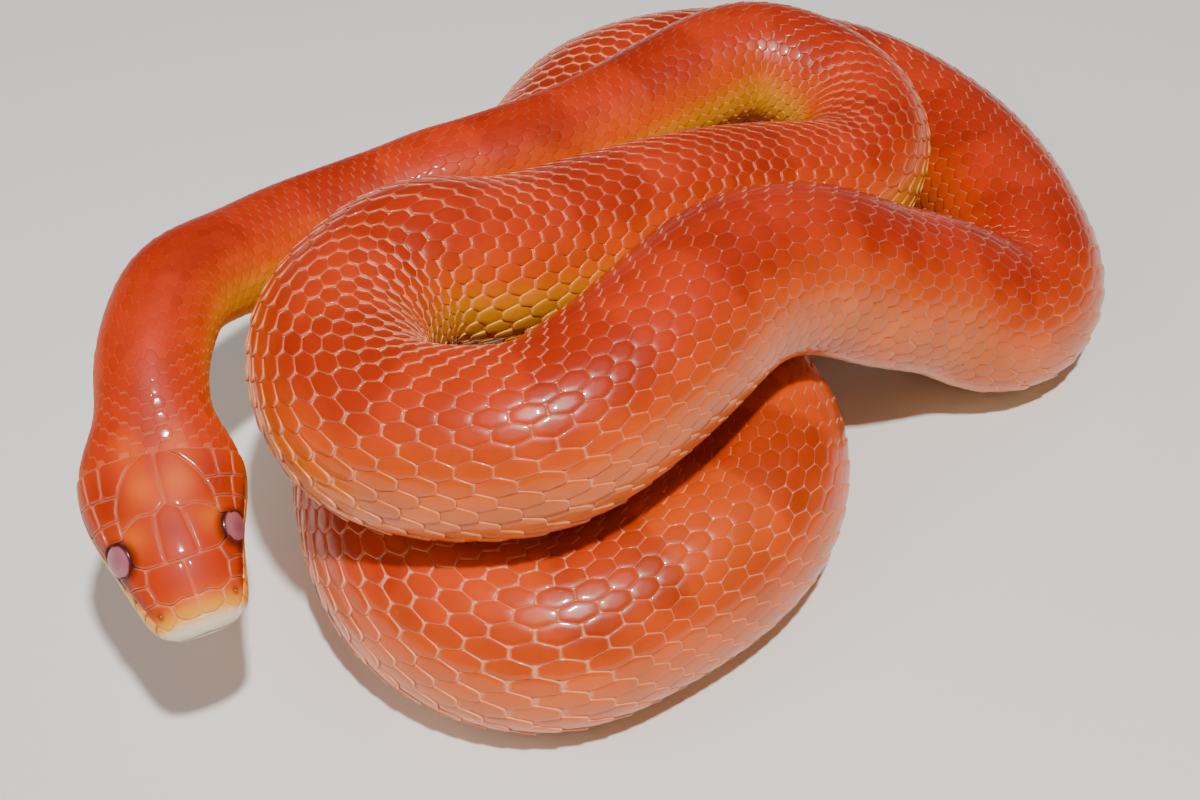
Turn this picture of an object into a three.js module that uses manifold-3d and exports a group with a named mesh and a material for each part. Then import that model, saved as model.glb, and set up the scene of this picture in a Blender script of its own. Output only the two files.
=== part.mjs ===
// Corn snake model, life size, millimetres, +Z up, resting on the floor plane z = 0.
import * as THREE from 'three';
import { mergeVertices } from 'three/addons/utils/BufferGeometryUtils.js';
import Module from 'manifold-3d';

const wasm = await Module();
wasm.setup();

// Driving sizes.
const HEAD_LENGTH = 30;
const EYE_FROM_SNOUT = 11;
const EYE_RADIUS = 2.05;
const EYE_SIDE = 6.2;
const EYE_UP = 1.75;
const EYE_CLEAR = 0.3;
const LENGTH_GAP = 0.3;
const COIL_GAP = 0.5;
const FLOOR_HEIGHT = 0.9;
const BELLY_DEPTH = 0.93;
const ROUNDNESS = 0.88;
const PLATE_RISE = 0.22;
const PLATE_GAP = 0.26;
const MOUTH_DEPTH = 0.42;
const NOSTRIL_RADIUS = 0.42;
const RING_STEP = 6;
const AROUND = 22;
const SAMPLES = 224;

// Where the middle of the body passes, snout first.
const ROUTE = [
  [-46.4, -53.8, 26.6], [-50.9, -44.4, 30.2], [-53.7, -36.6, 33.4], [-55.6, -28.2, 37],
  [-56.5, -22.5, 39.3], [-56.4, -17, 40.5], [-55, -9, 40.5], [-50, 0.5, 37], [-44, 9, 34],
  [-31.5, 19, 31.5], [-16, 27.5, 31.5], [-1, 39, 30.5], [15.5, 52.5, 31.5], [25, 57, 31.5],
  [34, 55, 30], [40.5, 49.5, 28], [42.5, 42, 26.5], [40, 34.5, 25.5], [34.5, 30, 26], [28, 27.5, 27.5],
  [16.5, 22.5, 30], [6, 15.5, 32.5], [-5, 8.5, 34], [-15, 2.5, 36], [-23.5, -1, 38.3], [-29.5, -6, 38],
  [-33, -13, 37.7], [-33, -20.5, 37.5], [-27.5, -30, 37.5], [-18, -33.5, 38], [-8, -32.5, 38.5],
  [0, -26.5, 39], [8.5, -16.5, 39.5], [17, -4.5, 38.5], [28, 5, 34], [39.5, 11.5, 26], [50.5, 16, 19],
  [59.5, 18.5, 13], [66, 25, 11], [67, 36.5, 11], [64, 52, 11], [56, 67.5, 11], [43, 79, 11],
  [25, 83.5, 11], [13, 82, 11], [4.5, 78, 11], [-2, 71.5, 11], [-6, 63, 11], [-9.5, 54, 11],
  [-14, 43, 11], [-19.5, 31, 11], [-25, 18, 11.3], [-29, 4, 11.5], [-30.5, -8.5, 11.5],
  [-28.5, -21, 11.5], [-24, -32.5, 11.5], [-16, -40, 11.5], [-6, -42, 11.5], [4, -37.5, 11.5],
  [13, -31, 11.5], [20.5, -22, 11.5], [23.5, -10, 11.2], [21, 2.5, 10.5], [12.5, 13, 9.4],
  [4, 21.5, 8.2], [0.5, 32, 7.2], [4.5, 42.5, 6.2], [13, 50, 5.2], [24, 53.5, 4.4], [34.5, 51, 3.6],
  [41, 42.5, 3], [39, 33, 2.4], [31, 28.5, 2], [23.5, 32, 1.6], [22, 39, 1.2], [28, 42.5, 0.9],
];

// Half width of the body: [distance from the snout, size]; negative distances run from the tail tip.
const GIRTH = [
  [0, 7.4], [40, 7.2], [70, 7.7], [120, 8.9], [170, 10], [215, 11], [270, 12], [430, 12.2],
  [540, 12.6], [605, 13.3], [672, 13.2], [702, 12.4], [742, 10.6], [-130, 8.2], [-90, 6.2],
  [-45, 3.8], [0, 1.2],
];

// Head sizes along the snout to neck line: distance, half width, height above, depth below,
// and how far the widest line lies below the middle.
const HEAD_FORM = [
  [0, 0, 0, 0, 0], [0.3, 3, 1.5, 1.6, 0.2], [1, 4.7, 2.5, 2.5, 0.5], [2.2, 5.7, 3.2, 3, 0.8],
  [4, 6.4, 3.9, 3.4, 1.1], [6.5, 7, 4.7, 3.9, 1.3], [9, 7.6, 5.2, 4.4, 1.4], [11, 8.1, 5.5, 4.7, 1.4],
  [14, 9.1, 5.8, 5.2, 1.2], [17, 9.9, 6, 5.6, 0.9], [20, 10.2, 6.1, 5.9, 0.6], [23, 9.8, 6.2, 6.1, 0.3],
  [26, 8.7, 6.5, 6.3, 0.1], [30, 7.5, 6.9, 6.5, 0], [36, 7.2, 7.1, 6.7, 0],
];

// Where the body is divided, as distances from the snout.
const CUTS = [HEAD_LENGTH, 62, 115, 168, 222, 276, 330, 378, 426, 476, 530, 585, 637, 688, 740, 805];

const lerp = (a, b, t) => a + (b - a) * t;
const clamp = (x, lo, hi) => Math.min(hi, Math.max(lo, x));
const smooth = (a, b, x) => {
  const t = clamp((x - a) / (b - a), 0, 1);
  return t * t * (3 - 2 * t);
};

// Natural cubic spline through (xs, ys).
function spline(xs, ys) {
  const n = xs.length;
  const m = new Array(n).fill(0);
  const c = new Array(n).fill(0);
  for (let i = 1; i < n - 1; i += 1) {
    const h0 = xs[i] - xs[i - 1];
    const h1 = xs[i + 1] - xs[i];
    const rhs = 6 * ((ys[i + 1] - ys[i]) / h1 - (ys[i] - ys[i - 1]) / h0);
    const d = 2 * (h0 + h1) - h0 * c[i - 1];
    c[i] = h1 / d;
    m[i] = (rhs - h0 * m[i - 1]) / d;
  }
  for (let i = n - 2; i > 0; i -= 1) m[i] -= c[i] * m[i + 1];
  return (x) => {
    let lo = 0;
    let hi = n - 1;
    while (hi - lo > 1) {
      const mid = (lo + hi) >> 1;
      if (xs[mid] > x) hi = mid;
      else lo = mid;
    }
    const h = xs[hi] - xs[lo];
    const a = (xs[hi] - x) / h;
    const b = (x - xs[lo]) / h;
    return a * ys[lo] + b * ys[hi] + ((a ** 3 - a) * m[lo] + (b ** 3 - b) * m[hi]) * h * h / 6;
  };
}

function lineAt(table, x) {
  let i = 0;
  while (i < table.length - 2 && table[i + 1][0] < x) i += 1;
  const t = clamp((x - table[i][0]) / (table[i + 1][0] - table[i][0]), 0, 1);
  return lerp(table[i][1], table[i + 1][1], t);
}

// Even samples along a smooth curve through the route.
function evenCurve(points, count) {
  const ts = [0];
  for (let i = 1; i < points.length; i += 1) {
    const [a, b] = [points[i - 1], points[i]];
    ts.push(ts[i - 1] + Math.sqrt(Math.hypot(b[0] - a[0], b[1] - a[1], b[2] - a[2])));
  }
  const along = [0, 1, 2].map((k) => spline(ts, points.map((p) => p[k])));
  const fine = count * 20;
  const all = [];
  const run = [0];
  for (let i = 0; i < fine; i += 1) {
    const t = ts[ts.length - 1] * i / (fine - 1);
    all.push(along.map((f) => f(t)));
    if (i) run.push(run[i - 1] + Math.hypot(...all[i].map((v, k) => v - all[i - 1][k])));
  }
  const length = run[fine - 1];
  const out = [];
  let j = 0;
  for (let i = 0; i < count; i += 1) {
    const s = length * i / (count - 1);
    while (j < fine - 2 && run[j + 1] < s) j += 1;
    const t = clamp((s - run[j]) / (run[j + 1] - run[j]), 0, 1);
    out.push(all[j].map((v, k) => lerp(v, all[j + 1][k], t)));
  }
  return [out, length];
}

function girths(count, length) {
  const table = GIRTH.map(([s, r], i) => [s < 0 || i === GIRTH.length - 1 ? length + s : s, r]);
  let r = [];
  for (let i = 0; i < count; i += 1) r.push(lineAt(table, length * i / (count - 1)));
  for (let pass = 0; pass < 30; pass += 1) {
    r = r.map((v, i) => (i === 0 || i === count - 1 ? v : (r[i - 1] + 2 * v + r[i + 1]) / 4));
  }
  return r;
}

// Coils press each other apart and the lowest ones lie on the floor.
function settle(start, radii, step) {
  const n = start.length;
  const apart = Math.floor(46 / step);
  const d = start.map(() => [0, 0, 0]);
  for (let round = 0; round < 400; round += 1) {
    const push = start.map(() => [0, 0, 0]);
    const hits = new Array(n).fill(0);
    for (let i = 0; i < n; i += 1) {
      for (let j = i + apart; j < n; j += 1) {
        const v = [0, 1, 2].map((k) => start[j][k] + d[j][k] - start[i][k] - d[i][k]);
        const far = Math.hypot(v[0], v[1], v[2]);
        const deep = radii[i] + radii[j] + COIL_GAP - far;
        if (deep <= 0) continue;
        for (let k = 0; k < 3; k += 1) {
          const u = v[k] / far * deep * 0.5;
          push[j][k] += u;
          push[i][k] -= u;
        }
        hits[i] += 1;
        hits[j] += 1;
      }
    }
    for (let i = 0; i < n; i += 1) {
      for (let k = 0; k < 3; k += 1) d[i][k] += 0.75 * push[i][k] / Math.max(1, hits[i]);
    }
    if (round < 375) {
      const old = d.map((v) => v.slice());
      for (let i = 1; i < n - 1; i += 1) {
        for (let k = 0; k < 3; k += 1) {
          d[i][k] += 0.25 * (old[i - 1][k] + old[i + 1][k] - 2 * old[i][k]);
        }
      }
      for (const v of d) for (let k = 0; k < 3; k += 1) v[k] *= 0.998;
    }
    for (let i = 0; i < n; i += 1) {
      d[i][2] = Math.max(start[i][2] + d[i][2], FLOOR_HEIGHT * radii[i]) - start[i][2];
    }
  }
  return start.map((p, i) => p.map((v, k) => v + d[i][k]));
}

const [rough, LENGTH] = evenCurve(ROUTE, SAMPLES);
const STEP = LENGTH / (SAMPLES - 1);
const radii = girths(SAMPLES, LENGTH);
const settled = settle(rough, radii, STEP);
const marks = settled.map((p, i) => i * STEP);
const middle = [0, 1, 2].map((k) => spline(marks, settled.map((p) => p[k])));
const girthAt = spline(marks, radii);
const rootOf = (a) => Math.sqrt(Math.max(0, a));
const headForm = [1, 2, 3, 4].map((k) => spline(HEAD_FORM.map((f) => rootOf(f[0])), HEAD_FORM.map((f) => f[k])));

// Middle point and directions at distance s: along, up, side.
function frameAt(s) {
  const p = new THREE.Vector3(...middle.map((f) => f(s)));
  const h = 0.05;
  const [s0, s1] = [Math.max(0, s - h), Math.min(LENGTH, s + h)];
  const along = new THREE.Vector3(...middle.map((f) => f(s1) - f(s0))).normalize();
  const up = new THREE.Vector3(0, 0, 1).addScaledVector(along, -along.z).normalize();
  const side = new THREE.Vector3().crossVectors(up, along);
  return { p, along, up, side };
}

// Half width, height, depth and corner powers of the section at distance s.
function sectionAt(s) {
  const body = smooth(25, 37, s);
  const r = girthAt(s);
  const q = Math.sqrt(clamp(s, 0, 36));
  const head = headForm.map((f) => Math.max(0, f(q)));
  const drop = head[3] * (1 - body);
  return {
    wide: lerp(head[0], r, body),
    high: lerp(head[1], r, body) + drop,
    deep: lerp(head[2], r * BELLY_DEPTH, body) - drop,
    drop,
    powSide: lerp(0.86, ROUNDNESS, body),
    powTop: lerp(0.8, 1, body),
    powLow: lerp(0.72, ROUNDNESS, body),
  };
}

// Offset in the section plane at angle phi from the back: [side, up].
function sectionPoint(sec, phi) {
  const c = Math.cos(phi);
  const sn = Math.sin(phi);
  const low = c < 0;
  const side = Math.sign(sn) * Math.abs(sn) ** (low ? sec.powSide : 1);
  const up = low ? -(Math.abs(c) ** sec.powLow) * sec.deep : c ** sec.powTop * sec.high;
  return [side * sec.wide, up - sec.drop];
}

function place(fr, off) {
  const v = fr.p.clone().addScaledVector(fr.side, off[0]).addScaledVector(fr.up, off[1]);
  v.z = Math.max(0, v.z);
  return v;
}

// A closed body from rings of points; each end is a point or a flat cap.
function loft(rings) {
  const pos = [];
  const index = [];
  const n = rings.find((r) => r.length > 1).length;
  const starts = rings.map((ring) => {
    const at = pos.length / 3;
    for (const v of ring) pos.push(v.x, v.y, v.z);
    return at;
  });
  for (let i = 0; i + 1 < rings.length; i += 1) {
    const [a, b] = [starts[i], starts[i + 1]];
    for (let j = 0; j < n; j += 1) {
      const k = (j + 1) % n;
      if (rings[i].length === 1) index.push(a, b + j, b + k);
      else if (rings[i + 1].length === 1) index.push(a + j, b, a + k);
      else index.push(a + j, b + j, a + k, a + k, b + j, b + k);
    }
  }
  for (const end of [0, rings.length - 1]) {
    if (rings[end].length === 1) continue;
    const c = pos.length / 3;
    const mid = rings[end].reduce((m, v) => m.add(v), new THREE.Vector3()).divideScalar(n);
    pos.push(mid.x, mid.y, mid.z);
    for (let j = 0; j < n; j += 1) {
      const k = (j + 1) % n;
      if (end) index.push(starts[end] + j, c, starts[end] + k);
      else index.push(starts[end] + k, c, starts[end] + j);
    }
  }
  const g = new THREE.BufferGeometry();
  g.setAttribute('position', new THREE.Float32BufferAttribute(pos, 3));
  g.setIndex(index);
  return g;
}

function bodyLength(s0, s1) {
  const steps = Math.max(3, Math.round((s1 - s0) / RING_STEP));
  const rings = [];
  for (let i = 0; i <= steps; i += 1) {
    const s = lerp(s0, s1, i / steps);
    const fr = frameAt(s);
    const sec = sectionAt(s);
    const ring = [];
    for (let j = 0; j < AROUND; j += 1) ring.push(place(fr, sectionPoint(sec, 2 * Math.PI * (j + 0.5) / AROUND)));
    rings.push(ring);
  }
  return rings;
}

// Angle of the mouth line, fading out behind the corner of the mouth.
const MOUTH_LINE = [[0, 108], [4, 108], [11, 107], [17, 106], [20.5, 104]];
const MOUTH_END = 20.5;
const mouthAngle = (a) => lineAt(MOUTH_LINE, a) * Math.PI / 180;

// Head surface at distance a and angle phi, raised along its normal.
function headPoint(a, phi, rise = 0) {
  const at = (x, f) => place(frameAt(x), sectionPoint(sectionAt(x), f));
  const p = at(a, phi);
  if (!rise) return p;
  const e = 0.08;
  const da = at(a + e, phi).sub(at(Math.max(0.01, a - e), phi));
  const df = at(a, phi + 0.03).sub(at(a, phi - 0.03));
  return p.addScaledVector(df.cross(da).normalize(), -rise);
}

function headShell() {
  const stations = [0.1, 0.3, 0.6, 1, 1.5, 2.1, 2.8, 3.6, 4.5];
  for (let a = 5.5; a < HEAD_LENGTH - 1; a += 1.15) stations.push(a);
  stations.push(HEAD_LENGTH - LENGTH_GAP / 2);
  const rings = [[headPoint(0, 0)]];
  for (const a of stations) {
    const m = mouthAngle(a);
    const fade = smooth(0.1, 1.2, a) * (1 - smooth(MOUTH_END - 2, MOUTH_END, a));
    const half = [];
    for (let j = 0; j <= 10; j += 1) half.push([(m - 0.06) * j / 10, 0]);
    half.push([m, -MOUTH_DEPTH * fade]);
    for (let j = 0; j <= 6; j += 1) half.push([lerp(m + 0.06, Math.PI, j / 6), 0]);
    const ring = half.map(([f, d]) => headPoint(a, f, d));
    for (let j = half.length - 2; j > 0; j -= 1) ring.push(headPoint(a, -half[j][0], half[j][1]));
    rings.push(ring);
  }
  return loft(rings);
}

// Angle whose arc from the midline of the back is q millimetres.
function angleAt(a, q) {
  const sec = sectionAt(a);
  let last = sectionPoint(sec, 0);
  let run = 0;
  for (let i = 1; i <= 90; i += 1) {
    const f = Math.PI * i / 90;
    const now = sectionPoint(sec, f);
    const d = Math.hypot(now[0] - last[0], now[1] - last[1]);
    if (run + d >= Math.abs(q)) return Math.sign(q || 1) * Math.PI * (i - 1 + (Math.abs(q) - run) / d) / 90;
    run += d;
    last = now;
  }
  return Math.sign(q || 1) * Math.PI;
}

// Plates of the head: corners as [distance from snout, arc from the midline of the back].
const TOP_PLATES = {
  internasal: [[1.5, 0.13], [3.7, 0.13], [4, 2.2], [3.2, 3.5], [2, 2.9], [1.4, 1.5]],
  prefrontal: [[3.95, 0.13], [7.9, 0.13], [8.1, 1.8], [8.5, 3.9], [6.9, 4.8], [4.9, 4.7], [3.5, 3.6], [4.25, 2.2]],
  supraocular: [[8.7, 4.1], [8.4, 2.5], [10, 2.35], [12, 2.2], [13.9, 2], [14.2, 3.6], [13.6, 5.2], [12, 5.7], [10, 5.3]],
  parietal: [[14.3, 0.13], [17, 0.13], [21.3, 0.13], [21.4, 1.2], [20, 3.4], [17.8, 5.2], [14.7, 5.3], [14.5, 3.6], [14.1, 1.7], [15.2, 0.4]],
};
const FRONTAL = [[8.1, 0], [8.35, 1.6], [10, 2.1], [12, 1.95], [13.8, 1.7], [15, 0.15], [15, -0.15], [13.8, -1.7], [12, -1.95],
  [10, -2.1], [8.35, -1.6]];
const ROSTRAL = [[1.25, 0], [1.15, 1.2], [1.5, 2.6], [0.7, 3.2], [0.35, 2.4], [0.3, 0], [0.35, -2.4], [0.7, -3.2], [1.5, -2.6],
  [1.15, -1.2]];

// Side plates: corners as [distance from snout, share of the way from the back to the mouth line].
const SIDE_PLATES = {
  nasal: [[1.8, 0.52], [3.3, 0.5], [4.7, 0.58], [4.9, 0.76], [2.2, 0.77], [1.4, 0.66]],
  loreal: [[5, 0.6], [7, 0.56], [7.9, 0.62], [8, 0.76], [5.2, 0.76]],
  preocular: [[7.3, 0.54], [8.8, 0.47], [9, 0.6], [8.8, 0.75], [8.2, 0.76], [8.1, 0.62]],
  postocularHigh: [[13.6, 0.5], [14.6, 0.48], [15, 0.6], [13.6, 0.6], [13.1, 0.55]],
  postocularLow: [[13.6, 0.62], [15, 0.62], [15, 0.73], [13.4, 0.75], [12.9, 0.7]],
  temporalHigh: [[15.2, 0.5], [18.2, 0.46], [19, 0.58], [15.3, 0.6]],
  temporalLow: [[15.3, 0.62], [19, 0.6], [19.6, 0.74], [15.3, 0.74]],
};
const UPPER_LIPS = [1.7, 3.2, 5, 6.9, 8.9, 11, 13.2, 15.8, 19.2];
const LOWER_LIPS = [1.4, 3, 4.8, 6.8, 8.9, 11.2, 13.8, 16.6, 19.6];

function mirrored(corners) {
  return corners.map(([a, f]) => [a, -f]).reverse();
}

// A raised plate: rings of its outline drawn in, from below the surface to the middle.
function plate(corners, angleOf, rise = PLATE_RISE) {
  const edge = [];
  corners.forEach((p, i) => {
    const q = corners[(i + 1) % corners.length];
    const far = Math.hypot(q[0] - p[0], (q[1] - p[1]) * (angleOf === byShare ? 14 : 1));
    const cuts = Math.max(1, Math.round(far / 1.9));
    for (let k = 0; k < cuts; k += 1) edge.push([lerp(p[0], q[0], k / cuts), lerp(p[1], q[1], k / cuts)]);
  });
  const mid = edge.reduce((m, p) => [m[0] + p[0] / edge.length, m[1] + p[1] / edge.length], [0, 0]);
  const reach = Math.max(...edge.map((p) => Math.abs(p[0] - mid[0])), 0.9);
  const inset = clamp(1 - 0.28 / reach, 0.75, 0.95);
  const levels = [[1, -0.45], [1, rise * 0.45], [inset, rise], [0.5, rise * 1.15]];
  const rings = levels.map(([k, h]) => edge.map((p) => {
    const a = lerp(mid[0], p[0], k);
    return headPoint(a, angleOf(a, lerp(mid[1], p[1], k)), h);
  }));
  rings.push([headPoint(mid[0], angleOf(mid[0], mid[1]), rise * 1.2)]);
  return loft(rings);
}
const byArc = (a, q) => angleAt(a, q);
const byShare = (a, share) => share * mouthAngle(a);

function solid(geometry) {
  const g = geometry.clone();
  g.deleteAttribute('normal');
  g.deleteAttribute('uv');
  const m = mergeVertices(g, 1e-5);
  return new wasm.Manifold(new wasm.Mesh({
    numProp: 3,
    vertProperties: new Float32Array(m.attributes.position.array),
    triVerts: new Uint32Array(m.index.array),
  }));
}

function outward(geometry) {
  const p = geometry.attributes.position;
  const ix = geometry.index;
  let vol = 0;
  const [a, b, c] = [new THREE.Vector3(), new THREE.Vector3(), new THREE.Vector3()];
  for (let i = 0; i < ix.count; i += 3) {
    a.fromBufferAttribute(p, ix.getX(i));
    b.fromBufferAttribute(p, ix.getX(i + 1));
    c.fromBufferAttribute(p, ix.getX(i + 2));
    vol += a.dot(b.cross(c));
  }
  if (vol < 0) {
    const arr = ix.array;
    for (let i = 0; i < arr.length; i += 3) [arr[i], arr[i + 1]] = [arr[i + 1], arr[i]];
  }
  return geometry;
}

function back(manifold) {
  const mesh = manifold.getMesh();
  const g = new THREE.BufferGeometry();
  const pos = new Float32Array(mesh.vertProperties.length / mesh.numProp * 3);
  for (let i = 0; i < pos.length / 3; i += 1) {
    for (let k = 0; k < 3; k += 1) pos[3 * i + k] = mesh.vertProperties[mesh.numProp * i + k];
  }
  g.setAttribute('position', new THREE.BufferAttribute(pos, 3));
  g.setIndex(new THREE.BufferAttribute(new Uint32Array(mesh.triVerts), 1));
  return g;
}

function eyeMiddle(sign) {
  const fr = frameAt(EYE_FROM_SNOUT);
  return fr.p.clone().addScaledVector(fr.side, sign * EYE_SIDE).addScaledVector(fr.up, EYE_UP);
}

function ball(centre, radius, cuts) {
  const g = new THREE.SphereGeometry(radius, cuts, Math.round(cuts * 0.6));
  g.translate(centre.x, centre.y, centre.z);
  return g;
}

function headSolid() {
  let head = solid(outward(headShell()));
  const plates = [];
  for (const corners of Object.values(TOP_PLATES)) {
    plates.push(plate(corners, byArc), plate(mirrored(corners), byArc));
  }
  plates.push(plate(FRONTAL, byArc), plate(ROSTRAL, byArc));
  for (const corners of Object.values(SIDE_PLATES)) {
    plates.push(plate(corners, byShare), plate(mirrored(corners), byShare));
  }
  const half = PLATE_GAP / 2;
  for (let i = 0; i + 1 < UPPER_LIPS.length; i += 1) {
    const [a, b] = [UPPER_LIPS[i] + half, UPPER_LIPS[i + 1] - half];
    const corners = [[a, 0.785], [b, 0.785], [b, 0.965], [a, 0.965]];
    plates.push(plate(corners, byShare), plate(mirrored(corners), byShare));
  }
  for (let i = 0; i + 1 < LOWER_LIPS.length; i += 1) {
    const [a, b] = [LOWER_LIPS[i] + half, LOWER_LIPS[i + 1] - half];
    const corners = [[a, 1.04], [b, 1.04], [b, 1.17], [a, 1.17]];
    plates.push(plate(corners, byShare), plate(mirrored(corners), byShare));
  }
  for (const g of plates) head = head.add(solid(outward(g)));
  for (const sign of [-1, 1]) {
    head = head.subtract(solid(outward(mergedBall(eyeMiddle(sign), EYE_RADIUS + EYE_CLEAR, 22))));
    const at = headPoint(3.3, sign * byShare(3.3, 0.64), 0.1);
    head = head.subtract(solid(outward(mergedBall(at, NOSTRIL_RADIUS, 12))));
  }
  return back(head);
}

function mergedBall(centre, radius, cuts) {
  const g = ball(centre, radius, cuts);
  g.deleteAttribute('normal');
  g.deleteAttribute('uv');
  return mergeVertices(g, 1e-4);
}

const skin = new THREE.MeshStandardMaterial({ name: 'scaled_skin', color: '#c8430f', roughness: 0.45 });
const headSkin = new THREE.MeshStandardMaterial({ name: 'head_plates', color: '#d06a2e', roughness: 0.4 });
const eyeGloss = new THREE.MeshStandardMaterial({ name: 'eye_gloss', color: '#a8707a', roughness: 0.15 });

const snake = new THREE.Group();
snake.name = 'corn_snake';
const parts = [];

function addNode(name, geometry, material) {
  const mesh = new THREE.Mesh(geometry, material);
  mesh.name = name;
  parts.push(mesh);
}

addNode('head', headSolid(), headSkin);
addNode('eye_right', outward(mergedBall(eyeMiddle(1), EYE_RADIUS, 22)), eyeGloss);
addNode('eye_left', outward(mergedBall(eyeMiddle(-1), EYE_RADIUS, 22)), eyeGloss);
for (let i = 0; i < CUTS.length; i += 1) {
  const s0 = CUTS[i] + LENGTH_GAP / 2;
  const last = i === CUTS.length - 1;
  const rings = bodyLength(s0, last ? LENGTH - 1.5 : CUTS[i + 1] - LENGTH_GAP / 2);
  if (last) rings.push([frameAt(LENGTH).p]);
  const name = i === 0 ? 'neck' : i < CUTS.length - 2 ? `torso_${i}` : `tail_${i - CUTS.length + 3}`;
  addNode(name, outward(loft(rings)), skin);
}

// The bottom of the box, in its middle, is the origin.
const box = new THREE.Box3();
for (const mesh of parts) {
  mesh.geometry.computeBoundingBox();
  box.union(mesh.geometry.boundingBox);
}
const home = box.getCenter(new THREE.Vector3()).setZ(box.min.z);
for (const mesh of parts) {
  mesh.geometry.translate(-home.x, -home.y, -home.z);
  snake.add(mesh);
}

export default snake;
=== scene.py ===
# Corn snake, life size, lying in loose coils: skin, scales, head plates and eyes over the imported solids.
import math
import bpy
import numpy as np
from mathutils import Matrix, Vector


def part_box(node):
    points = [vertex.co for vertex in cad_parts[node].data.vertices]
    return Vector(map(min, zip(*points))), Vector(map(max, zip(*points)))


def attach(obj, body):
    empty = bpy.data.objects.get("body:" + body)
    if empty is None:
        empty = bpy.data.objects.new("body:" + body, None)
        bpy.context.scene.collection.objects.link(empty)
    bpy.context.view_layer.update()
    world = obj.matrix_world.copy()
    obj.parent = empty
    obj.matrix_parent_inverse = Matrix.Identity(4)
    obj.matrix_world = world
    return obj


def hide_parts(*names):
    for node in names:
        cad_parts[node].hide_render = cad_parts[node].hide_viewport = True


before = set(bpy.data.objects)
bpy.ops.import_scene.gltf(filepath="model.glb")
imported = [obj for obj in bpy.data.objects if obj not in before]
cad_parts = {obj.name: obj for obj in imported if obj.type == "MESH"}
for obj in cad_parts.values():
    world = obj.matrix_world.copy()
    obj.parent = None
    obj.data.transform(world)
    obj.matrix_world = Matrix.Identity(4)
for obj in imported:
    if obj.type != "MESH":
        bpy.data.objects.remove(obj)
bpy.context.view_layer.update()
mm = 0.001

# body line, in mm, snout first: the same points as the solids
bodyLine = dict(
    route=[
        (-46.4, -53.8, 26.6), (-50.9, -44.4, 30.2), (-53.7, -36.6, 33.4), (-55.6, -28.2, 37),
        (-56.5, -22.5, 39.3), (-56.4, -17, 40.5), (-55, -9, 40.5), (-50, 0.5, 37), (-44, 9, 34),
        (-31.5, 19, 31.5), (-16, 27.5, 31.5), (-1, 39, 30.5), (15.5, 52.5, 31.5), (25, 57, 31.5),
        (34, 55, 30), (40.5, 49.5, 28), (42.5, 42, 26.5), (40, 34.5, 25.5), (34.5, 30, 26),
        (28, 27.5, 27.5), (16.5, 22.5, 30), (6, 15.5, 32.5), (-5, 8.5, 34), (-15, 2.5, 36),
        (-23.5, -1, 38.3), (-29.5, -6, 38), (-33, -13, 37.7), (-33, -20.5, 37.5), (-27.5, -30, 37.5),
        (-18, -33.5, 38), (-8, -32.5, 38.5), (0, -26.5, 39), (8.5, -16.5, 39.5), (17, -4.5, 38.5),
        (28, 5, 34), (39.5, 11.5, 26), (50.5, 16, 19), (59.5, 18.5, 13), (66, 25, 11), (67, 36.5, 11),
        (64, 52, 11), (56, 67.5, 11), (43, 79, 11), (25, 83.5, 11), (13, 82, 11), (4.5, 78, 11),
        (-2, 71.5, 11), (-6, 63, 11), (-9.5, 54, 11), (-14, 43, 11), (-19.5, 31, 11), (-25, 18, 11.3),
        (-29, 4, 11.5), (-30.5, -8.5, 11.5), (-28.5, -21, 11.5), (-24, -32.5, 11.5), (-16, -40, 11.5),
        (-6, -42, 11.5), (4, -37.5, 11.5), (13, -31, 11.5), (20.5, -22, 11.5), (23.5, -10, 11.2),
        (21, 2.5, 10.5), (12.5, 13, 9.4), (4, 21.5, 8.2), (0.5, 32, 7.2), (4.5, 42.5, 6.2),
        (13, 50, 5.2), (24, 53.5, 4.4), (34.5, 51, 3.6), (41, 42.5, 3), (39, 33, 2.4), (31, 28.5, 2),
        (23.5, 32, 1.6), (22, 39, 1.2), (28, 42.5, 0.9)],
    girth=[
        (0, 7.4), (40, 7.2), (70, 7.7), (120, 8.9), (170, 10), (215, 11), (270, 12), (430, 12.2),
        (540, 12.6), (605, 13.3), (672, 13.2), (702, 12.4), (742, 10.6)],
    tailGirth=[(-130, 8.2), (-90, 6.2), (-45, 3.8), (0, 1.2)],  # distances back from the tail tip
    samples=224, finer=20, girthRounds=30, coilGap=0.5, floorHeight=0.9, bellyDepth=0.93, roundness=0.88)
settling = dict(turns=400, smoothTurns=375, nearest=46, push=0.75, smoothing=0.25, pull=0.998)

# distance from snout, half width, height above, depth below, drop of the widest line
headForm = [
    (0, 0, 0, 0, 0), (0.3, 3, 1.5, 1.6, 0.2), (1, 4.7, 2.5, 2.5, 0.5), (2.2, 5.7, 3.2, 3, 0.8),
    (4, 6.4, 3.9, 3.4, 1.1), (6.5, 7, 4.7, 3.9, 1.3), (9, 7.6, 5.2, 4.4, 1.4), (11, 8.1, 5.5, 4.7, 1.4),
    (14, 9.1, 5.8, 5.2, 1.2), (17, 9.9, 6, 5.6, 0.9), (20, 10.2, 6.1, 5.9, 0.6), (23, 9.8, 6.2, 6.1, 0.3),
    (26, 8.7, 6.5, 6.3, 0.1), (30, 7.5, 6.9, 6.5, 0), (36, 7.2, 7.1, 6.7, 0)]
# where the head turns into the body, and the powers that round its outline
headSection = dict(headUntil=25, bodyFrom=37, last=headForm[-1][0], side=0.86, top=0.8, low=0.72)


def smooth(a, b, x):  # 0 up to a, 1 from b on, and a soft step between
    t = np.clip((x - a) / (b - a), 0, 1)
    return t * t * (3 - 2 * t)


def fromTable(table, s):  # the value at s of a list of (distance, value)
    return np.interp(s, *zip(*table))


def signed(phi):  # angles past half a turn become negative ones
    return np.where(phi > math.pi, phi - 2 * math.pi, phi)


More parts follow.
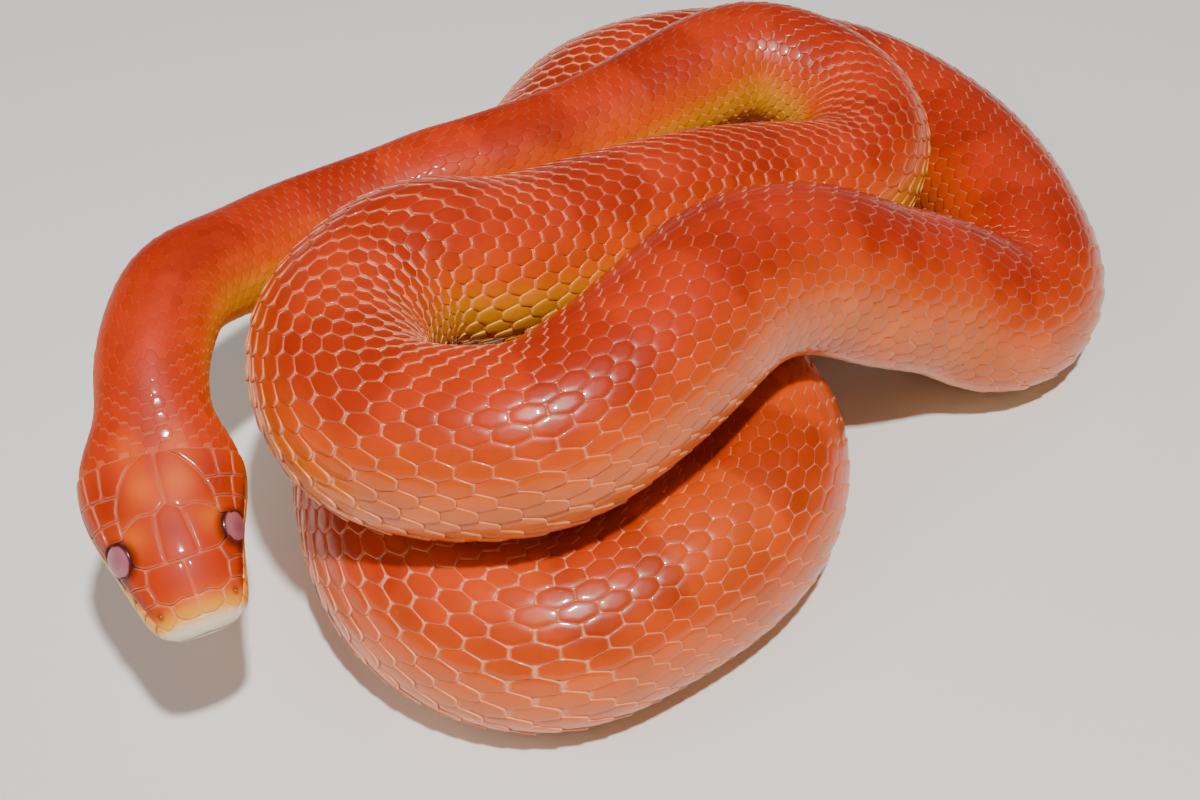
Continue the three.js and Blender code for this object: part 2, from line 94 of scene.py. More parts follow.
def unit(vectors):
    return vectors / np.linalg.norm(vectors, axis=-1, keepdims=True)


def runOf(points):  # distance along a line at each of its points
    return np.r_[0, np.cumsum(np.linalg.norm(np.diff(points, axis=0), axis=1))]


def naturalSpline(xs, ys):  # a function of the smooth curve through the points
    xs, ys = np.asarray(xs, float), np.asarray(ys, float)
    n = len(xs)
    h = np.diff(xs)
    a = np.eye(n)
    rhs = np.zeros(n)
    for i in range(1, n - 1):
        a[i, i - 1:i + 2] = h[i - 1], 2 * (h[i - 1] + h[i]), h[i]
        rhs[i] = 6 * ((ys[i + 1] - ys[i]) / h[i] - (ys[i] - ys[i - 1]) / h[i - 1])
    m = np.linalg.solve(a, rhs)

    def at(x):
        x = np.asarray(x, float)
        k = np.clip(np.searchsorted(xs, x, side="right") - 1, 0, n - 2)
        w = h[k]
        p, q = (xs[k + 1] - x) / w, (x - xs[k]) / w
        return p * ys[k] + q * ys[k + 1] + ((p ** 3 - p) * m[k] + (q ** 3 - q) * m[k + 1]) * w * w / 6
    return at


def evenCurve(points, count):  # evenly spaced points on a smooth curve, and its length
    pts = np.array(points, float)
    ts = np.r_[0, np.cumsum(np.sqrt(np.linalg.norm(np.diff(pts, axis=0), axis=1)))]
    t = np.linspace(0, ts[-1], count * bodyLine["finer"])
    fine = np.stack([naturalSpline(ts, pts[:, k])(t) for k in range(3)], 1)
    run = runOf(fine)
    s = np.linspace(0, run[-1], count)
    return np.stack([np.interp(s, run, fine[:, k]) for k in range(3)], 1), run[-1]


def girths(stations, length):  # half width of the body at each station
    table = bodyLine["girth"] + [(length + s, r) for s, r in bodyLine["tailGirth"]]
    r = fromTable(table, stations)
    for _ in range(bodyLine["girthRounds"]):
        r[1:-1] = (r[:-2] + 2 * r[1:-1] + r[2:]) / 4
    return r


def settle(start, radii, step):  # coils press each other apart and the lowest lie on the floor
    n = len(start)
    d = np.zeros_like(start)
    one, two = np.triu_indices(n, int(settling["nearest"] / step))
    need = radii[one] + radii[two] + bodyLine["coilGap"]
    for turn in range(settling["turns"]):
        v = (start + d)[two] - (start + d)[one]
        far = np.linalg.norm(v, axis=1)
        hit = need - far > 0
        half = v[hit] / far[hit][:, None] * (need - far)[hit][:, None] * 0.5
        push = np.zeros_like(start)
        np.add.at(push, two[hit], half)
        np.add.at(push, one[hit], -half)
        hits = np.bincount(one[hit], minlength=n) + np.bincount(two[hit], minlength=n)
        d += settling["push"] * push / np.maximum(1, hits)[:, None]
        if turn < settling["smoothTurns"]:
            d[1:-1] += settling["smoothing"] * (d[:-2] + d[2:] - 2 * d[1:-1])
            d *= settling["pull"]
        d[:, 2] = np.maximum(start[:, 2] + d[:, 2], bodyLine["floorHeight"] * radii) - start[:, 2]
    return start + d


rough, bodyLength = evenCurve(bodyLine["route"], bodyLine["samples"])
stations = np.linspace(0, bodyLength, bodyLine["samples"])
radii = girths(stations, bodyLength)
settled = settle(rough, radii, stations[1])
middle = [naturalSpline(stations, settled[:, k]) for k in range(3)]
girthAt = naturalSpline(stations, radii)
headRoots = [math.sqrt(f[0]) for f in headForm]
headParts = [naturalSpline(headRoots, [f[k] for f in headForm]) for k in range(1, 5)]
print("body line", round(bodyLength, 1), "mm")


def frameAt(s):  # middle of the body, and the directions ahead, up and to the side
    s = np.asarray(s, float)
    h = 0.05
    s0, s1 = np.maximum(0, s - h), np.minimum(bodyLength, s + h)
    p = np.stack([f(s) for f in middle], -1)
    along = unit(np.stack([f(s1) - f(s0) for f in middle], -1))
    up = unit(np.array([0, 0, 1.0]) - along * along[..., 2:3])
    return p, along, up, np.cross(up, along)


def sectionAt(s):  # sizes of the cross section: the head's, blended into the body's
    form = headSection
    s = np.asarray(s, float)
    body = smooth(form["headUntil"], form["bodyFrom"], s)
    r = girthAt(s)
    wide, high, deep, drop = [np.maximum(0, f(np.sqrt(np.clip(s, 0, form["last"])))) for f in headParts]
    drop = drop * (1 - body)
    mix = lambda a, b: a + (b - a) * body
    return dict(
        wide=mix(wide, r), high=mix(high, r) + drop, deep=mix(deep, r * bodyLine["bellyDepth"]) - drop,
        drop=drop, powSide=mix(form["side"], bodyLine["roundness"]), powTop=mix(form["top"], 1.0),
        powLow=mix(form["low"], bodyLine["roundness"]))


def sectionPoint(sec, phi):  # to the side and up from the middle; phi is 0 at the back, pi at the belly
    c, sn = np.cos(phi), np.sin(phi)
    low = c < 0
    side = np.sign(sn) * np.abs(sn) ** np.where(low, sec["powSide"], 1.0)
    up = np.where(low, -np.abs(c) ** sec["powLow"] * sec["deep"], np.abs(c) ** sec["powTop"] * sec["high"])
    return side * sec["wide"], up - sec["drop"]


eyePlace = dict(fromSnout=11.0, side=6.2, up=1.75, searchAngles=(30, 110, 0.5))


def eyeMiddle(sign):
    p, along, up, side = frameAt(eyePlace["fromSnout"])
    return p + side * sign * eyePlace["side"] + up * eyePlace["up"]


low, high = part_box("eye_left")
home = eyeMiddle(-1) - np.array((low + high) / 2) / mm  # where the solids put the origin
home[2] = 0
print("origin lies at", np.round(home, 2))


def surface(s, phi, lift=0.0):  # points in mm, in the frame of the solids; lift moves them along the normal
    s, phi = np.broadcast_arrays(np.asarray(s, float), np.asarray(phi, float))
    step, turn, snout = 0.08, 0.03, 0.01

    def at(a, f):
        p, along, up, side = frameAt(a)
        x, y = sectionPoint(sectionAt(a), f)
        return p + side * x[..., None] + up * y[..., None]
    here = at(s, phi)
    ds = at(np.minimum(s + step, bodyLength), phi) - at(np.maximum(s - step, snout), phi)
    df = at(s, phi + turn) - at(s, phi - turn)
    normal = np.cross(ds, df)
    normal /= np.linalg.norm(normal, axis=-1, keepdims=True) + 1e-12
    normal *= np.sign(np.sum(normal * (here - frameAt(s)[0]), -1, keepdims=True) + 1e-9)
    out = here + normal * np.asarray(lift)[..., None] - home
    out[..., 2] = np.maximum(out[..., 2], 0.0)
    return out, normal, ds / (2 * step)


def arcsAt(s):  # angles from the middle of the back, and the arc to each in mm
    f = np.linspace(0, math.pi, 181)
    return f, runOf(np.stack(sectionPoint(sectionAt(s), f), 1))


def arcToAngle(s, q):  # angle whose arc from the middle of the back is q mm
    out = np.zeros(len(s))
    for i in range(len(s)):
        f, run = arcsAt(s[i])
        out[i] = np.sign(q[i]) * np.interp(abs(q[i]), run, f)
    return out


mouthLine = [(0, 108), (4, 108), (11, 107), (17, 106), (20.5, 104)]  # distance from snout, angle
mouthEnd = mouthLine[-1][0]


def mouthAngle(s):
    return np.radians(fromTable(mouthLine, s))


# upper edge of the lip plates, as a share of the way round from the back to the mouth
lipTop = [(0, 0.66), (3, 0.66), (4.7, 0.68), (7.5, 0.73), (9.6, 0.775), (11, 0.79), (14, 0.8)]

# markings: the same for skin, scales, belly and head plates; pairs are where a tone starts and is full,
# Side in degrees from the middle of the back, From and Until in mm from the snout
markings = dict(
    order=("flank", "saddle", "yellow", "lip", "streak", "belly", "cream"),
    flankSide=(20, 92), flankFrom=(20, 60), flankFront=0.35,
    paleAlong=[(0, 0.1), (60, 0), (300, 0.1), (380, 0), (640, 0.1), (685, 0.6), (760, 0.4), (900, 0.3)],
    saddlePitch=27.0, saddleWave=(0.42, 0.62), saddleSide=(32, 58), saddleFrom=(28, 50), saddleDepth=0.5,
    saddleDrift=(0.6, 31.0), saddleTeeth=(6, 9.0),
    yellowSide=(60, 96),
    yellowAlong=[(0, 0), (25, 0.3), (60, 1), (160, 1), (265, 1), (292, 0.5), (306, 0.12), (900, 0.1)],
    bellySide=(128, 142), bellyFrom=(8, 24), chinShare=(1.0, 1.06), chinUntil=(20, 34),
    lipShare=(-0.08, 0.03), lipLowest=1.3, lipUntil=(13, 20), snoutTone=0.85, snoutUntil=(1.2, 3.8),
    creamTone=0.95, creamUntil=(0.1, 1.7), creamSag=0.8, creamSagShare=(0.5, 0.9),
    lipCream=0.8, lipCreamShare=(0.8, 0.93),
    streakTone=0.8, streakAbove=0.1, streakWidth=0.06, streakFrom=(2.5, 5), streakUntil=(14, 20))

# patches on the head: distance from snout, angle from the back, reach of each, how pale, how dark
headPatches = [
    (2.4, 0, 1.9, 70, 0.9, 0), (12.3, 34, 2.0, 14, 0.95, 0), (17.6, 13, 2.4, 12, 0.9, 0),
    (11.6, 0, 1.5, 9, 0, 0.6), (6.3, 0, 1.9, 28, 0, 0.25), (17.5, 42, 3.0, 14, 0, 0.55),
    (23, 18, 2.5, 12, 0.6, 0), (26, 0, 4, 12, 0, 0.4)]


def markAt(s, phi):  # how much of each tone lies at a place on the body
    m = markings
    s, phi = np.broadcast_arrays(np.asarray(s, float), np.asarray(phi, float))
    a = np.degrees(np.abs(phi))
    a = np.where(a > 180, 360 - a, a)
    share = np.abs(phi) / mouthAngle(s)
    edge = fromTable(lipTop, s)
    pale = smooth(*m["flankSide"], a)
    pale = pale * (m["flankFront"] + (1 - m["flankFront"]) * smooth(*m["flankFrom"], s))
    dark = np.zeros_like(s)
    for place, angle, length, spread, light, shade in headPatches:
        near = np.exp(-((s - place) / length) ** 2 - ((a - angle) / spread) ** 2)
        pale, dark = pale + light * near * (1 - pale), np.maximum(dark, shade * near)
    pale = np.maximum(pale, fromTable(m["paleAlong"], s))
    drift, driftLength = m["saddleDrift"]
    wave = 0.5 + 0.5 * np.cos(2 * math.pi * s / m["saddlePitch"] + drift * np.sin(s / driftLength))
    teeth, toothPitch = m["saddleTeeth"]
    saddle = 1 - smooth(*m["saddleSide"], a + teeth * np.cos(2 * math.pi * s / toothPitch))
    saddle = saddle * smooth(*m["saddleWave"], wave) * smooth(*m["saddleFrom"], s) * m["saddleDepth"]
    yellow = smooth(*m["yellowSide"], a) * fromTable(m["yellowAlong"], s)
    belly = smooth(*m["bellySide"], a) * smooth(*m["bellyFrom"], s)
    chin = smooth(*m["chinShare"], share) * (1 - smooth(*m["chinUntil"], s))
    onLip = (share < m["lipLowest"]) * (1 - smooth(*m["lipUntil"], s))
    lip = smooth(edge + m["lipShare"][0], edge + m["lipShare"][1], share) * onLip
    lip = np.maximum(lip, m["snoutTone"] * (1 - smooth(*m["snoutUntil"], s)))
    back = s - m["creamSag"] * smooth(*m["creamSagShare"], share)
    cream = m["creamTone"] * (1 - smooth(*m["creamUntil"], back))
    cream = np.maximum(cream, m["lipCream"] * smooth(*m["lipCreamShare"], share) * onLip)
    streak = m["streakTone"] * np.exp(-((share - edge + m["streakAbove"]) / m["streakWidth"]) ** 2)
    streak = streak * smooth(*m["streakFrom"], s) * (1 - smooth(*m["streakUntil"], s))
    tones = (pale, np.maximum(dark, saddle), yellow, lip, streak, np.maximum(belly, chin), cream)
    return dict(zip(m["order"], tones))


# colours and materials
def colour(code):  # sRGB hex to linear
    parts = [int(code[i:i + 2], 16) / 255 for i in (1, 3, 5)]
    return (*[c / 12.92 if c <= 0.04045 else ((c + 0.055) / 1.055) ** 2.4 for c in parts], 1.0)


def add(tree, kind, settings=None, inputs=None):  # one node with its settings and what goes into it
    node = tree.nodes.new(kind)
    for key, value in (settings or {}).items():
        setattr(node, key, value)
    for key, value in (inputs or {}).items():
        if isinstance(value, bpy.types.Node):
            value = value.outputs[0]
        if isinstance(value, bpy.types.NodeSocket):
            tree.links.new(value, node.inputs[key])
        else:
            node.inputs[key].default_value = value
    return node


def blend(tree, tone, label, code):  # another colour laid over a tone, by the attribute of that name
    mark = add(tree, "ShaderNodeAttribute", dict(attribute_name=label)).outputs["Fac"]
    return add(tree, "ShaderNodeMix", dict(data_type="RGBA"), {0: mark, 6: tone, 7: colour(code)}).outputs[2]


def newMaterial(name, shine):  # a plain surface with the given values of its shader
    mat = bpy.data.materials.new(name)
    mat.use_nodes = True
    shader = mat.node_tree.nodes["Principled BSDF"]
    for label, value in shine.items():
        shader.inputs[label].default_value = value
    return mat, mat.node_tree, shader


# dark is painted shade and dark lip seams; rim is the pale scale edge, partly painted highlight
snakeTones = dict(
    back="#BA2A00", flank="#DE5A00", saddle="#981C00", yellow="#E69C0C", lip="#F2A826", belly="#F2BE88",
    streak="#8A2204", cream="#FFEFD2", rim="#FFB488", gap="#FFB08A", dark="#4E0C05")
snakeSurface = dict(
    cloudMm=9, cloudSpan={"From Min": 0.3, "From Max": 0.7, "To Min": 0.88, "To Max": 1.1}, cloudDetail=3,
    grainDetail=2, bumpStrength=0.5, coatRoughness=0.06)


# red and orange keratin or skin: tones by the marks of each piece, a soft cloudiness and a fine grain
def snakeMaterial(name, roughness, coat, shine=0.32, grainMm=0.35, bumpMm=0.012):
    look = snakeSurface
    mat, tree, shader = newMaterial(name, {
        "Roughness": roughness, "Specular IOR Level": shine, "Coat Weight": coat,
        "Coat Roughness": look["coatRoughness"]})
    tone = colour(snakeTones["back"])
    for label in markings["order"]:
        tone = blend(tree, tone, label, snakeTones[label])
    place = add(tree, "ShaderNodeTexCoord").outputs["Object"]
    cloud = add(tree, "ShaderNodeTexNoise", None, {
        "Vector": place, "Scale": 1 / (look["cloudMm"] * mm), "Detail": look["cloudDetail"]})
    span = add(tree, "ShaderNodeMapRange", None, {"Value": cloud, **look["cloudSpan"]})
    own = add(tree, "ShaderNodeAttribute", dict(attribute_name="own")).outputs["Fac"]
    for value in (span, own):
        tone = add(tree, "ShaderNodeHueSaturation", None, {"Value": value, "Color": tone}).outputs[0]
    # rim: pale scale edges, partly painted highlight; gap: pale skin between scales; dark: painted shade
    # round the eyes, along the mouth and in the nostrils, and the dark lip seams
    for label in ("rim", "gap", "dark"):
        tone = blend(tree, tone, label, snakeTones[label])
    grain = add(tree, "ShaderNodeTexNoise", None, {
        "Vector": place, "Scale": 1 / (grainMm * mm), "Detail": look["grainDetail"]})
    bump = add(tree, "ShaderNodeBump", None, {
        "Height": grain, "Distance": bumpMm * mm, "Strength": look["bumpStrength"]})
    tree.links.new(tone, shader.inputs["Base Color"])
    tree.links.new(bump.outputs[0], shader.inputs["Normal"])
    return mat


scaleKeratin = snakeMaterial("scale_keratin", 0.36, 0.5)  # glossy scales: small sharp highlights
softSkin = snakeMaterial("soft_skin", 0.6, 0.0)  # matt skin between the scales
neckKeratin = snakeMaterial("neck_keratin", 0.5, 0.12, 0.2)  # small dull scales behind the head
plateKeratin = snakeMaterial(  # smooth head with small highlights
    "plate_keratin", 0.5, 0.45, 0.18, grainMm=0.6, bumpMm=0.01)


# mesh helpers
def meshFrom(name, verts, faces, material):  # verts in mm; faces: list of arrays, each of one corner count
    mesh = bpy.data.meshes.new(name)
    mesh.vertices.add(len(verts))
    mesh.vertices.foreach_set("co", (np.asarray(verts, float) * mm).ravel())
    loops = np.concatenate([f.ravel() for f in faces])
    totals = np.concatenate([np.full(len(f), f.shape[1]) for f in faces])
    mesh.loops.add(len(loops))
    mesh.loops.foreach_set("vertex_index", loops)
    mesh.polygons.add(len(totals))
    mesh.polygons.foreach_set("loop_start", np.r_[0, np.cumsum(totals)[:-1]])
    mesh.polygons.foreach_set("loop_total", totals)
    mesh.update(calc_edges=True)
    mesh.validate()
    mesh.shade_smooth()
    mesh.materials.append(material)
    obj = bpy.data.objects.new(name, mesh)
    bpy.context.scene.collection.objects.link(obj)
    return obj


def ringQuads(around, rows, closed=False):  # faces between rings of points that follow each other
    j = np.arange(around)
    k = (j + 1) % around
    a = np.arange(rows if closed else rows - 1)[:, None] * around
    b = (a + around) % (around * rows)
    return np.stack([a + j, a + k, b + k, b + j], -1).reshape(-1, 4)


def fan(ring, centre):  # faces from a ring of points to the one in its middle
    return np.stack([ring, np.roll(ring, -1), np.full_like(ring, centre)], 1)


def paint(obj, **marks):  # point attributes that the materials read
    for name, array in marks.items():
        attr = obj.data.attributes.new(name, "FLOAT", "POINT")
        values = np.broadcast_to(np.asarray(array, float), len(obj.data.vertices))
        attr.data.foreach_set("value", values.copy())


bakeLayout = dict(bands=12, edge=0.02, bandEdge=0.04, plateSize=0.003)


def unwrap(s, phi):  # the skin laid out flat in bands, each a length of the body
    bands, edge, bandEdge = bakeLayout["bands"], bakeLayout["edge"], bakeLayout["bandEdge"]
    x = np.asarray(s, float) / bodyLength * bands
    band = np.minimum(np.floor(x), bands - 1)
    across = (np.asarray(phi, float) / (2 * math.pi)) % 1.0
    u = edge + (1 - 2 * edge) * (x - band)
    return np.stack([u, (band + bandEdge + (1 - 2 * bandEdge) * across) / bands], -1)


def bakeMap(obj, root, local):  # UV map in which each plate lies at its root, drawn small
    mesh = obj.data
    flat = root + local * bakeLayout["plateSize"]
    uv = mesh.uv_layers.get("OFBake") or mesh.uv_layers.new(name="OFBake")
    loops = np.empty(len(mesh.loops), int)
    mesh.loops.foreach_get("vertex_index", loops)
    uv.data.foreach_set("uv", flat[loops].ravel())


# skin: one closed surface from snout to tail tip, sunk a little below the surface of the solids
skinShape = dict(
    inset=0.32, headAround=240, bodyAround=80, headUntil=34.0, headStep=0.2, bodyStep=1.6,
    snoutRings=[0.02, 0.08, 0.18, 0.32, 0.5], headFrom=0.7, joint=0.6, tailRings=[0.8, 0.3], insetFull=2.0,
    # the mouth groove sinks the skin; mouthShade and mouthLine paint shade along the crease
    mouthDepth=0.5, mouthWidth=0.35, mouthFrom=(0.1, 1.2), mouthShade=0.95, mouthLine=0.32,
    # painted shade round the eyes: how dark it is, and the distances in mm over which it fades out
    eyeShadeTone=0.85, eyeShade=(2.2, 3.5),
    paleBetween=[(0, 0), (3, 0.25), (20, 0.1), (60, 0.1), (120, 0.15), (220, 0.35), (320, 0.7)])


def eyeShade(pts):  # painted shade: skin darkened close round the eyes
    eyes = np.stack([eyeMiddle(g) - home for g in (-1, 1)])
    near = np.min(np.linalg.norm(pts[:, None] - eyes[None], axis=2), axis=1)
    return skinShape["eyeShadeTone"] * (1 - smooth(*skinShape["eyeShade"], near))


def skinLift(s, phi):  # how far the skin lies from the surface: sunk all over, and more along the mouth
    sh = skinShape
    gap = (np.abs(phi) - mouthAngle(s)) * np.maximum(sectionAt(s)["wide"], 1)
    fade = smooth(*sh["mouthFrom"], s) * (1 - smooth(mouthEnd - 1.5, mouthEnd + 0.5, s))
    groove = sh["mouthDepth"] * np.exp(-(gap / sh["mouthWidth"]) ** 2) * fade
    return -sh["inset"] * smooth(0.0, sh["insetFull"], s) - groove


def makeSkin():
    sh = skinShape
    headS = np.r_[sh["snoutRings"], np.arange(sh["headFrom"], sh["headUntil"], sh["headStep"])]
    bodyS = np.arange(sh["headUntil"] + sh["joint"], bodyLength - 1.0, sh["bodyStep"])
    bodyS = np.r_[bodyS, bodyLength - np.array(sh["tailRings"])]
    counts = [sh["headAround"]] * len(headS) + [sh["bodyAround"]] * len(bodyS)
    starts = 1 + np.r_[0, np.cumsum(counts)[:-1]]
    s = np.repeat(np.r_[headS, bodyS], counts)
    phi = signed(np.concatenate([(np.arange(n) + 0.5) / n * 2 * math.pi for n in counts]))
    pts = surface(s, phi, skinLift(s, phi))[0]
    tipAngle = 0.1
    tip = surface(np.array([0.0]), np.array([tipAngle]))[0]
    tail = frameAt(np.array([bodyLength]))[0] - home
    verts = np.vstack([tip, pts, tail])
    s, phi = np.r_[0, s, bodyLength], np.r_[tipAngle, phi, tipAngle]
    quads, tris = [], []
    for a, b, n, m in zip(starts[:-1], starts[1:], counts[:-1], counts[1:]):
        j = np.arange(m)
        k = (j + 1) % m
        if n == m:
            quads.append(np.stack([b + j, b + k, a + k, a + j], 1))
            continue
        step = n // m  # points of the head's last ring to each point of the body's first
        near = j * step + step // 2
        half = (step + 1) // 2
        for q in range(step):
            corner = b + (j if q < half else k)
            tris.append(np.stack([corner, a + (near + q + 1) % n, a + (near + q) % n], 1))
        tris.append(np.stack([b + j, b + k, a + (near + half) % n], 1))
    tris.append(fan(starts[0] + np.arange(counts[0]), 0))
    tris.append(fan(starts[-1] + np.arange(counts[-1]), len(verts) - 1)[:, ::-1])
    skin = meshFrom("skin", verts, [np.vstack(quads), np.vstack(tris)], softSkin)
    marks = markAt(s, phi)
    wall = fromTable(sh["paleBetween"], s) * (1 - marks["belly"]) * (1 - marks["cream"])
    # painted shade along the mouth crease, fading out at the back of the mouth
    mouth = np.abs(np.abs(phi) - mouthAngle(s)) * sectionAt(s)["wide"]
    line = np.exp(-(mouth / sh["mouthLine"]) ** 2) * (1 - smooth(mouthEnd - 1, mouthEnd + 0.5, s))
    paint(skin, own=1.0, rim=0.0, gap=wall, dark=np.maximum(eyeShade(verts), sh["mouthShade"] * line), **marks)
    return skin


skin = makeSkin()
print("skin", len(skin.data.polygons), "faces")


# scales: one small plate, set out row by row and realized by Geometry Nodes
scales = dict(
    rows=25, sideAngle=126, cover=1.04, acrossCover=1.02, endHalf=0.33, cut=0.15, rise=0.30, fullSize=3.2,
    tilt=0.126, tiltMost=1.5, tiltLength=2.6, tiltShortest=0.6, bendLimits=(0.35, 1.75), bendShare=0.92,
    narrow=2.2, flattest=0.25, jitter=0.03, toneSpread=0.045, seed=11, pieces=6, floorGap=0.02,
    firstAt=10.0, throatUntil=33, throatRows=14, neckGirthAt=34.0, shortest=0.55, lastRing=1.2, lastScale=0.8,
    levels=[(0.97, -1.0, 1.0), (1.0, 0.0, 1.0), (0.965, 0.33, 0.3), (0.88, 0.52, 0.0), (0.42, 0.64, 0.0)],
    # endRim, sideRim and rimAlong: pale scale edges, partly the scales' own and partly painted highlight
    top=0.67, endRim=(0.36, 0.48), sideRim=0.65,
    headEdge=[(0, 21.7), (84, 21.6), (100, 21.2), (108, 20.2), (112, 14), (125, 10.5)],
    pitchPerGirth=[(0, 0.26), (120, 0.26), (300, 0.275), (862, 0.28)],
    boldness=[(0, 0.35), (60, 0.4), (120, 0.6), (220, 0.9), (290, 1), (862, 1)],
    rimAlong=[(0, 0.12), (40, 0.15), (120, 0.22), (220, 0.38), (290, 0.6), (340, 0.8), (620, 1), (862, 1)])


def scaleShape():  # a rounded hexagon with flat ends, one unit long towards the tail and one row wide
    end, side = scales["endHalf"], 1 - scales["endHalf"]
    corners = np.array([(0.5, -end), (0.5, end), (0, side), (-0.5, end), (-0.5, -end), (0, -side)])
    c = scales["cut"]
    before, after = np.roll(corners, 1, axis=0), np.roll(corners, -1, axis=0)
    outline = np.stack([corners * (1 - c) + before * c, corners * (1 - c) + after * c], 1).reshape(-1, 2)
    n = len(outline)
    sideRim = scales["sideRim"]  # the ends are paler than the sides; the pale edge is partly the scale's own and partly painted highlight
    pale = sideRim + (1 - sideRim) * smooth(*scales["endRim"], np.abs(outline[:, 0]))
    levels = scales["levels"]  # share of the outline, height, rim
    verts = [np.column_stack([outline * k, np.full(n, h)]) for k, h, edge in levels]
    rim = np.concatenate([pale * edge for k, h, edge in levels] + [[0.0]])
    verts = np.vstack(verts + [[[0, 0, scales["top"]]]])
    top = fan((len(levels) - 1) * n + np.arange(n), len(verts) - 1)
    return verts, [ringQuads(n, len(levels)), top, np.arange(n)[::-1][None]], rim


def rowPlaces():  # distance of every ring of scales from the snout, and its length
    s, out = scales["firstAt"], []
    while s < bodyLength - scales["lastRing"]:
        girth = float(girthAt(max(s, scales["neckGirthAt"])))
        pitch = max(float(fromTable(scales["pitchPerGirth"], s)) * girth, scales["shortest"])
        out.append((s, pitch))
        s += pitch
    return out


rings = rowPlaces()
print("rings of scales", len(rings))


def scalePoints():  # distance, angle, length and width in radians of every scale
    half = (scales["rows"] - 1) // 2
    stepPhi = math.radians(scales["sideAngle"]) / (half + 0.5)
    items = []
    for s, pitch in rings:
        more = scales["throatRows"] if s < scales["throatUntil"] else 0  # in front of the belly plates
        for j in range(-half, half + 1 + more):
            items.append((s + (pitch / 2 if j % 2 else 0), j * stepPhi, pitch, stepPhi))
    items = np.array([i for i in items if i[0] < bodyLength - scales["lastScale"]])
    items[:, 1] = signed(items[:, 1])
    start = fromTable(scales["headEdge"], np.degrees(np.abs(items[:, 1])))  # behind the head plates
    return items[items[:, 0] > start]


def scaleTree(shape):  # one scale on each root, turned and sized by the root's own values
    tree = bpy.data.node_groups.new("scaleRows", "GeometryNodeTree")

    def socket(label, kind, way="INPUT"):
        return tree.interface.new_socket(label, in_out=way, socket_type="NodeSocket" + kind).identifier

    def stored(label):
        return add(tree, "GeometryNodeInputNamedAttribute", dict(data_type="FLOAT_VECTOR"), {"Name": label})

    def reckon(operation, a, b):
        return add(tree, "ShaderNodeMath", dict(operation=operation), {0: a, 1: b})

    socket("Geometry", "Geometry")
    kinds = dict(Thickness="Float", Jitter="Float", Seed="Int", Keratin="Material")
    names = {label: socket(label, kind) for label, kind in kinds.items()}
    socket("Geometry", "Geometry", "OUTPUT")
    given = tree.nodes.new("NodeGroupInput").outputs
    spread = add(tree, "FunctionNodeRandomValue", dict(data_type="FLOAT"), {
        2: reckon("SUBTRACT", 1.0, given["Jitter"]), 3: reckon("ADD", 1.0, given["Jitter"]),
        "Seed": given["Seed"]}).outputs[1]
    high = reckon("MULTIPLY", given["Thickness"], mm)
    factor = add(tree, "ShaderNodeCombineXYZ", None, {0: spread, 1: spread, 2: high})
    size = add(tree, "ShaderNodeVectorMath", dict(operation="MULTIPLY"), {0: stored("size"), 1: factor})
    placed = add(tree, "GeometryNodeInstanceOnPoints", None, {
        "Points": given["Geometry"], "Scale": size,
        "Instance": add(tree, "GeometryNodeObjectInfo", None, {"Object": shape}).outputs["Geometry"],
        "Rotation": add(tree, "FunctionNodeEulerToRotation", None, {0: stored("turn")})})
    solid = add(tree, "GeometryNodeRealizeInstances", None, {0: placed})
    filled = add(tree, "GeometryNodeSetMaterial", None, {0: solid, "Material": given["Keratin"]})
    add(tree, "NodeGroupOutput", None, {0: filled})
    return tree, names


def eulers(x, y, z):  # XYZ euler angles of the frames whose axes are x, y, z
    ry = np.arcsin(np.clip(-x[:, 2], -1, 1))
    rz = np.arctan2(x[:, 1], x[:, 0])
    rx = np.arctan2(y[:, 2], z[:, 2])
    return np.stack([rx, ry, rz], 1)


def scaleFrames(s, phi, pitch, stepPhi):  # place, turn and size of every scale
    sc = scales
    place, z, ds = surface(s, phi, -skinShape["inset"])
    left, right = [surface(s, phi + side * stepPhi / 2)[0] for side in (-1, 1)]
    across = np.linalg.norm(right - left, axis=1)
    x = unit(ds - z * np.sum(ds * z, 1, keepdims=True))
    stretch = np.clip(np.linalg.norm(ds, axis=1), *sc["bendLimits"])  # longer outside a bend, shorter inside
    length = pitch * np.minimum(stretch, 1 + (stretch - 1) * sc["bendShare"]) * sc["cover"]
    bold = fromTable(sc["boldness"], s)
    steep = np.minimum(sc["tiltMost"], sc["tiltLength"] / np.maximum(length, sc["tiltShortest"]))
    lean = np.arctan(sc["tilt"] * bold * steep)[:, None]
    x, z = x * np.cos(lean) + z * np.sin(lean), z * np.cos(lean) - x * np.sin(lean)
    thick = np.clip(np.minimum(length, sc["narrow"] * across) / sc["fullSize"], sc["flattest"], 1.0) * bold
    size = np.stack([length * mm, across * sc["acrossCover"] * mm, thick], 1)
    return place, eulers(x, np.cross(z, x), z), size


